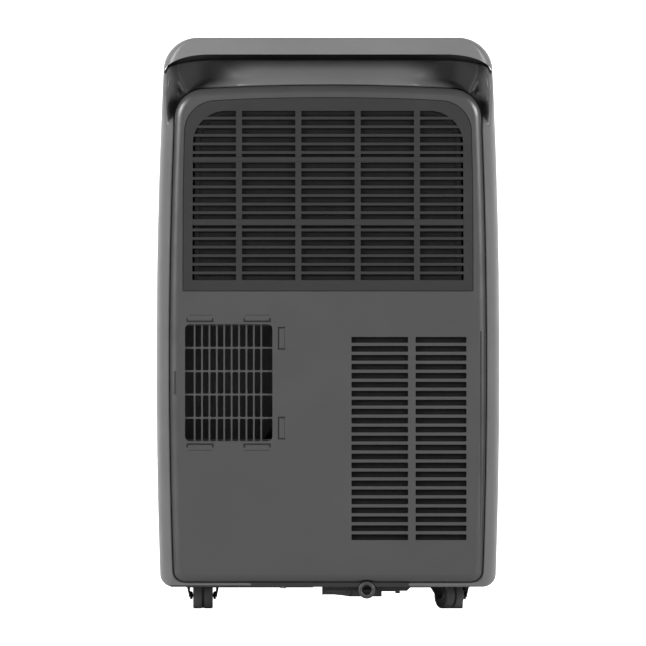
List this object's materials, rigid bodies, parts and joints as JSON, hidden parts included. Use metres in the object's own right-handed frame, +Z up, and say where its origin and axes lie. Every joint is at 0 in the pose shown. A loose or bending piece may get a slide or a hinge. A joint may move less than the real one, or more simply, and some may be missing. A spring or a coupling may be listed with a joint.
{
  "type": "portable air conditioner",
  "caption": "Portable air conditioner with a barrel-sided casing, a light top cover over a rear grip recess, louvred rear grilles, a hose outlet and swivel casters.",
  "frame": {"origin": "centre of the footprint on the floor", "axes": "+Z up, -Y towards the front with the air outlet, +Y towards the rear panel with the grilles"},
  "size_m": [0.46, 0.395, 0.765],
  "materials": {
    "shell_plastic": "satin moulded plastic, fine grain",
    "front_plastic": "satin moulded plastic",
    "panel_plastic": "matt moulded plastic, fine grain",
    "cover_plastic": "satin moulded plastic, lighter grey",
    "base_plastic": "matt moulded plastic",
    "grille_plastic": "matt moulded plastic, dark",
    "filter_mesh": "net on a moulded frame",
    "fascia_gloss": "gloss black",
    "display_lens": "smoked lens",
    "circuit_board": "solder resist",
    "dark_plastic": "matt black",
    "motor_steel": "zinc plated",
    "duct_plastic": "expanded and moulded plastic",
    "coil_aluminium": "pressed fins",
    "compressor_paint": "black paint",
    "rubber_black": "matt",
    "copper": "drawn tube",
    "port_plastic": "matt moulded plastic",
    "screw_steel": "plated",
    "button_plastic": "satin",
    "caster_plastic": "matt moulded plastic",
    "wheel_plastic": "worn satin"
  },
  "bodies": {
    "casing": {"top_cover": "cover_plastic", "body_shell": "shell_plastic", "front_panel": "front_plastic", "rear_panel": "panel_plastic", "base_pan": "base_plastic", "exhaust_grid": "panel_plastic", "control_fascia": "fascia_gloss", "display_lens": "display_lens", "control_board": "circuit_board", "outlet_frame": "dark_plastic", "flap_motor": "motor_steel", "upper_scroll": "duct_plastic", "upper_fan_motor": "motor_steel", "evaporator_coil": "coil_aluminium", "drain_tray": "duct_plastic", "lower_scroll": "duct_plastic", "lower_fan_motor": "motor_steel", "condenser_coil": "coil_aluminium", "splash_motor": "motor_steel", "compressor": "compressor_paint", "compressor_grommets": "rubber_black", "copper_tubes": "copper", "electronics_box": "duct_plastic", "capacitor": "motor_steel", "drain_housing": "base_plastic", "drain_port": "port_plastic", "cord_gland": "rubber_black", "base_screws": "screw_steel"},
    "grille_door": {"upper_grille": "grille_plastic", "upper_filter": "filter_mesh"},
    "lower_filter": {"lower_filter": "filter_mesh"},
    "flap": {"outlet_flap": "front_plastic"},
    "vane_1": {"vane_1": "dark_plastic"},
    "vane_2": {"vane_2": "dark_plastic"},
    "vane_3": {"vane_3": "dark_plastic"},
    "vane_4": {"vane_4": "dark_plastic"},
    "vane_5": {"vane_5": "dark_plastic"},
    "vane_link": {"vane_link": "dark_plastic"},
    "upper_blower": {"upper_blower_wheel": "dark_plastic"},
    "lower_blower": {"lower_blower_wheel": "dark_plastic"},
    "splash_wheel": {"splash_wheel": "duct_plastic"},
    "power_button": {"power_button": "button_plastic"},
    "mode_button": {"mode_button": "button_plastic"},
    "up_button": {"up_button": "button_plastic"},
    "down_button": {"down_button": "button_plastic"},
    "fan_button": {"fan_button": "button_plastic"},
    "timer_button": {"timer_button": "button_plastic"},
    "caster_1": {"caster_1_hood": "caster_plastic"},
    "caster_1_wheel_a": {"caster_1_wheel_a": "wheel_plastic"},
    "caster_1_wheel_b": {"caster_1_wheel_b": "wheel_plastic"},
    "caster_2": {"caster_2_hood": "caster_plastic"},
    "caster_2_wheel_a": {"caster_2_wheel_a": "wheel_plastic"},
    "caster_2_wheel_b": {"caster_2_wheel_b": "wheel_plastic"},
    "caster_3": {"caster_3_hood": "caster_plastic"},
    "caster_3_wheel_a": {"caster_3_wheel_a": "wheel_plastic"},
    "caster_3_wheel_b": {"caster_3_wheel_b": "wheel_plastic"},
    "caster_4": {"caster_4_hood": "caster_plastic"},
    "caster_4_wheel_a": {"caster_4_wheel_a": "wheel_plastic"},
    "caster_4_wheel_b": {"caster_4_wheel_b": "wheel_plastic"}
  },
  "joints": [
    {"name": "grille_door_hinge", "type": "hinge", "parent": "casing", "child": "grille_door", "pos_m": [0, 0.1951, 0.428], "axis": [-1, 0, 0], "range_deg": [0, 60]},
    {"name": "lower_filter_slide", "type": "slide", "parent": "casing", "child": "lower_filter", "axis": [-1, 0, 0], "range_m": [0, 0.17]},
    {"name": "flap_hinge", "type": "hinge", "parent": "casing", "child": "flap", "pos_m": [0, -0.1954, 0.593], "axis": [1, 0, 0], "range_deg": [0, 70]},
    {"name": "vane_1_turn", "type": "hinge", "parent": "casing", "child": "vane_1", "pos_m": [-0.116, -0.158, 0.64], "axis": [0, 0, 1], "range_deg": [-35, 35]},
    {"name": "vane_2_turn", "type": "hinge", "parent": "casing", "child": "vane_2", "pos_m": [-0.058, -0.158, 0.64], "axis": [0, 0, 1], "range_deg": [-35, 35]},
    {"name": "vane_3_turn", "type": "hinge", "parent": "casing", "child": "vane_3", "pos_m": [0, -0.158, 0.64], "axis": [0, 0, 1], "range_deg": [-35, 35]},
    {"name": "vane_4_turn", "type": "hinge", "parent": "casing", "child": "vane_4", "pos_m": [0.058, -0.158, 0.64], "axis": [0, 0, 1], "range_deg": [-35, 35]},
    {"name": "vane_5_turn", "type": "hinge", "parent": "casing", "child": "vane_5", "pos_m": [0.116, -0.158, 0.64], "axis": [0, 0, 1], "range_deg": [-35, 35]},
    {"name": "vane_link_slide", "type": "slide", "parent": "casing", "child": "vane_link", "axis": [-1, 0, 0], "range_m": [-0.00803, 0.00803]},
    {"name": "upper_blower_spin", "type": "hinge", "parent": "casing", "child": "upper_blower", "pos_m": [-0.01, -0.01, 0.552], "axis": [0, 1, 0], "continuous": true},
    {"name": "lower_blower_spin", "type": "hinge", "parent": "casing", "child": "lower_blower", "pos_m": [0.02, 0.065, 0.2], "axis": [0, 1, 0], "continuous": true},
    {"name": "splash_wheel_spin", "type": "hinge", "parent": "casing", "child": "splash_wheel", "pos_m": [-0.11, 0.129, 0.092], "axis": [0, 1, 0], "continuous": true},
    {"name": "power_button_press", "type": "slide", "parent": "casing", "child": "power_button", "axis": [0, 0, -1], "range_m": [0, 0.0012], "stiffness_N_per_m": 400},
    {"name": "mode_button_press", "type": "slide", "parent": "casing", "child": "mode_button", "axis": [0, 0, -1], "range_m": [0, 0.0012], "stiffness_N_per_m": 400},
    {"name": "up_button_press", "type": "slide", "parent": "casing", "child": "up_button", "axis": [0, 0, -1], "range_m": [0, 0.0012], "stiffness_N_per_m": 400},
    {"name": "down_button_press", "type": "slide", "parent": "casing", "child": "down_button", "axis": [0, 0, -1], "range_m": [0, 0.0012], "stiffness_N_per_m": 400},
    {"name": "fan_button_press", "type": "slide", "parent": "casing", "child": "fan_button", "axis": [0, 0, -1], "range_m": [0, 0.0012], "stiffness_N_per_m": 400},
    {"name": "timer_button_press", "type": "slide", "parent": "casing", "child": "timer_button", "axis": [0, 0, -1], "range_m": [0, 0.0012], "stiffness_N_per_m": 400},
    {"name": "caster_1_swivel", "type": "hinge", "parent": "casing", "child": "caster_1", "pos_m": [0.1675, 0.142, 0.045], "axis": [0, 0, 1], "continuous": true},
    {"name": "caster_1_wheel_a_roll", "type": "hinge", "parent": "caster_1", "child": "caster_1_wheel_a", "pos_m": [0.1675, 0.132, 0.0179], "axis": [1, 0, 0], "continuous": true},
    {"name": "caster_1_wheel_b_roll", "type": "hinge", "parent": "caster_1", "child": "caster_1_wheel_b", "pos_m": [0.1675, 0.132, 0.0179], "axis": [1, 0, 0], "continuous": true},
    {"name": "caster_2_swivel", "type": "hinge", "parent": "casing", "child": "caster_2", "pos_m": [-0.1675, 0.142, 0.045], "axis": [0, 0, 1], "continuous": true},
    {"name": "caster_2_wheel_a_roll", "type": "hinge", "parent": "caster_2", "child": "caster_2_wheel_a", "pos_m": [-0.16235, 0.13343, 0.0179], "axis": [0.8572, 0.515, 0], "continuous": true},
    {"name": "caster_2_wheel_b_roll", "type": "hinge", "parent": "caster_2", "child": "caster_2_wheel_b", "pos_m": [-0.16235, 0.13343, 0.0179], "axis": [0.8572, 0.515, 0], "continuous": true},
    {"name": "caster_3_swivel", "type": "hinge", "parent": "casing", "child": "caster_3", "pos_m": [0.1675, -0.142, 0.045], "axis": [0, 0, 1], "continuous": true},
    {"name": "caster_3_wheel_a_roll", "type": "hinge", "parent": "caster_3", "child": "caster_3_wheel_a", "pos_m": [0.1675, -0.152, 0.0179], "axis": [1, 0, 0], "continuous": true},
    {"name": "caster_3_wheel_b_roll", "type": "hinge", "parent": "caster_3", "child": "caster_3_wheel_b", "pos_m": [0.1675, -0.152, 0.0179], "axis": [1, 0, 0], "continuous": true},
    {"name": "caster_4_swivel", "type": "hinge", "parent": "casing", "child": "caster_4", "pos_m": [-0.1675, -0.142, 0.045], "axis": [0, 0, 1], "continuous": true},
    {"name": "caster_4_wheel_a_roll", "type": "hinge", "parent": "caster_4", "child": "caster_4_wheel_a", "pos_m": [-0.1675, -0.152, 0.0179], "axis": [1, 0, 0], "continuous": true},
    {"name": "caster_4_wheel_b_roll", "type": "hinge", "parent": "caster_4", "child": "caster_4_wheel_b", "pos_m": [-0.1675, -0.152, 0.0179], "axis": [1, 0, 0], "continuous": true}
  ],
  "couplings": [
    {"joint": "vane_2_turn", "follows": "vane_1_turn", "ratio": 1},
    {"joint": "vane_3_turn", "follows": "vane_1_turn", "ratio": 1},
    {"joint": "vane_4_turn", "follows": "vane_1_turn", "ratio": 1},
    {"joint": "vane_5_turn", "follows": "vane_1_turn", "ratio": 1},
    {"joint": "vane_link_slide", "follows": "vane_1_turn", "m_per_rad": 0.013145}
  ]
}
